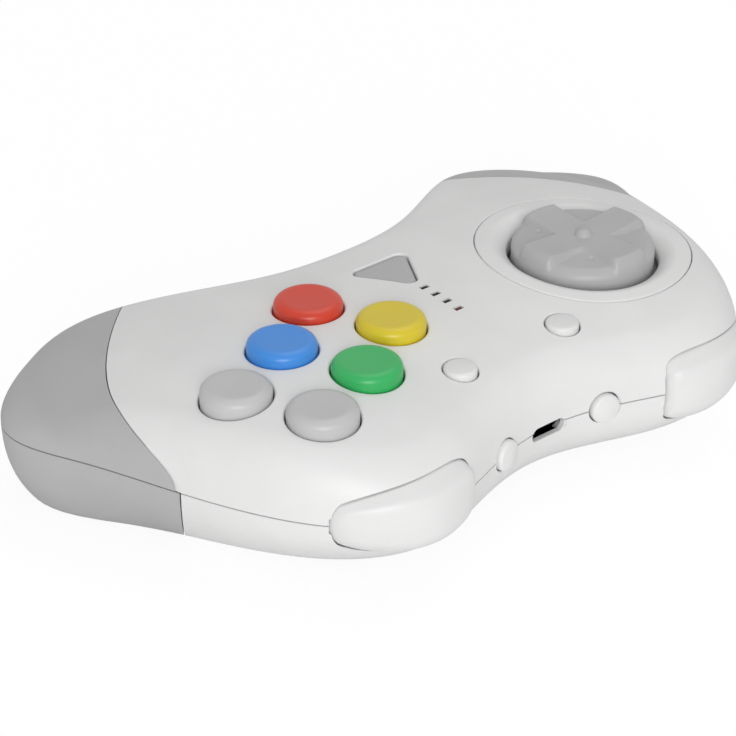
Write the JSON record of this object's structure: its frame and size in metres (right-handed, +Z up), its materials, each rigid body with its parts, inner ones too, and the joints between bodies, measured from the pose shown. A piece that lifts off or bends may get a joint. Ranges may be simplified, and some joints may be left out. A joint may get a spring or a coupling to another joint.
{
  "type": "gamepad controller",
  "caption": "Two-grip gamepad: white shells with grey grip ends, dished direction pad, round coloured face buttons, shoulder triggers and buttons, start key, charging socket, board and battery.",
  "frame": {"origin": "on the flat rest face of the bottom shell, on the pad's centre line", "axes": "+X to the player's right, +Y to the shoulder edge with the socket, +Z up through the button face"},
  "size_m": [0.1574, 0.0948, 0.0345],
  "materials": {
    "white_plastic": "satin",
    "grip_grey": "matt",
    "pad_grey": "satin",
    "key_grey": "gloss",
    "red_plastic": "gloss",
    "blue_plastic": "gloss",
    "yellow_plastic": "gloss",
    "green_plastic": "gloss",
    "key_rubber": "matt",
    "black_plastic": "matt",
    "steel": "plain",
    "socket_metal": "black",
    "board_green": "lacquered",
    "lens_plastic": "smoked",
    "lamp_white": "matt",
    "battery_wrap": "film",
    "wire_red": "matt"
  },
  "bodies": {
    "casing": {"top_shell": "white_plastic", "bottom_shell": "white_plastic", "right_grip_top": "grip_grey", "right_grip_bottom": "grip_grey", "left_grip_top": "grip_grey", "left_grip_bottom": "grip_grey", "dpad_dish": "white_plastic", "dpad_post": "black_plastic", "dpad_membrane": "key_rubber", "face_membrane": "key_rubber", "start_membrane": "key_rubber", "small_membrane": "key_rubber", "shoulder_switches": "black_plastic", "trigger_pins": "steel", "trigger_switches": "black_plastic", "main_board": "board_green", "processor_chip": "black_plastic", "usb_socket": "socket_metal", "light_pipe": "lens_plastic", "status_lights": "lamp_white", "battery": "battery_wrap", "battery_leads": "wire_red", "battery_plug": "lamp_white", "board_screws": "steel", "case_screws": "steel"},
    "dpad_pivot": {"dpad_ball": "steel"},
    "dpad_pad": {"dpad": "pad_grey"},
    "key_red": {"button_red": "red_plastic"},
    "key_blue": {"button_blue": "blue_plastic"},
    "key_grey_lower": {"button_grey_lower": "key_grey"},
    "key_yellow": {"button_yellow": "yellow_plastic"},
    "key_green": {"button_green": "green_plastic"},
    "key_grey_upper": {"button_grey_upper": "key_grey"},
    "key_start": {"start_button": "pad_grey"},
    "key_left_small": {"left_small_button": "white_plastic"},
    "key_right_small": {"right_small_button": "white_plastic"},
    "key_left_shoulder": {"left_shoulder_button": "white_plastic"},
    "key_right_shoulder": {"right_shoulder_button": "white_plastic"},
    "lever_left": {"left_trigger": "white_plastic"},
    "lever_right": {"right_trigger": "white_plastic"}
  },
  "joints": [
    {"name": "press_red", "type": "slide", "parent": "casing", "child": "key_red", "axis": [0, 0, -1], "range_m": [0, 0.0015], "stiffness_N_per_m": 350, "deforming": ["face_membrane"]},
    {"name": "press_blue", "type": "slide", "parent": "casing", "child": "key_blue", "axis": [0, 0, -1], "range_m": [0, 0.0015], "stiffness_N_per_m": 350, "deforming": ["face_membrane"]},
    {"name": "press_grey_lower", "type": "slide", "parent": "casing", "child": "key_grey_lower", "axis": [0, 0, -1], "range_m": [0, 0.0015], "stiffness_N_per_m": 350, "deforming": ["face_membrane"]},
    {"name": "press_yellow", "type": "slide", "parent": "casing", "child": "key_yellow", "axis": [0, 0, -1], "range_m": [0, 0.0015], "stiffness_N_per_m": 350, "deforming": ["face_membrane"]},
    {"name": "press_green", "type": "slide", "parent": "casing", "child": "key_green", "axis": [0, 0, -1], "range_m": [0, 0.0015], "stiffness_N_per_m": 350, "deforming": ["face_membrane"]},
    {"name": "press_grey_upper", "type": "slide", "parent": "casing", "child": "key_grey_upper", "axis": [0, 0, -1], "range_m": [0, 0.0015], "stiffness_N_per_m": 350, "deforming": ["face_membrane"]},
    {"name": "press_start", "type": "slide", "parent": "casing", "child": "key_start", "axis": [0, 0, -1], "range_m": [0, 0.001], "stiffness_N_per_m": 350, "deforming": ["start_membrane"]},
    {"name": "press_left_small", "type": "slide", "parent": "casing", "child": "key_left_small", "axis": [0, 0, -1], "range_m": [0, 0.0008], "stiffness_N_per_m": 350, "deforming": ["small_membrane"]},
    {"name": "press_right_small", "type": "slide", "parent": "casing", "child": "key_right_small", "axis": [0, 0, -1], "range_m": [0, 0.0008], "stiffness_N_per_m": 350, "deforming": ["small_membrane"]},
    {"name": "press_left_shoulder", "type": "slide", "parent": "casing", "child": "key_left_shoulder", "axis": [-0.2334, -0.9724, 0], "range_m": [0, 0.0008], "stiffness_N_per_m": 350},
    {"name": "press_right_shoulder", "type": "slide", "parent": "casing", "child": "key_right_shoulder", "axis": [0.2334, -0.9724, 0], "range_m": [0, 0.0008], "stiffness_N_per_m": 350},
    {"name": "pull_left_trigger", "type": "hinge", "parent": "casing", "child": "lever_left", "pos_m": [-0.0295, 0.03954, 0.017], "axis": [0, 0, 1], "range_deg": [0, 6], "stiffness_Nm_per_rad": 0.3},
    {"name": "pull_right_trigger", "type": "hinge", "parent": "casing", "child": "lever_right", "pos_m": [0.0295, 0.03954, 0.017], "axis": [0, 0, -1], "range_deg": [0, 6], "stiffness_Nm_per_rad": 0.3},
    {"name": "dpad_rock_up_down", "type": "hinge", "parent": "casing", "child": "dpad_pivot", "pos_m": [-0.0365, 0.0095, 0.0222], "axis": [1, 0, 0], "range_deg": [-4.5, 4.5], "stiffness_Nm_per_rad": 0.15, "deforming": ["dpad_membrane"]},
    {"name": "dpad_rock_left_right", "type": "hinge", "parent": "dpad_pivot", "child": "dpad_pad", "pos_m": [-0.0365, 0.0095, 0.0222], "axis": [0, 1, 0], "range_deg": [-4.5, 4.5], "stiffness_Nm_per_rad": 0.15, "deforming": ["dpad_membrane"]}
  ]
}
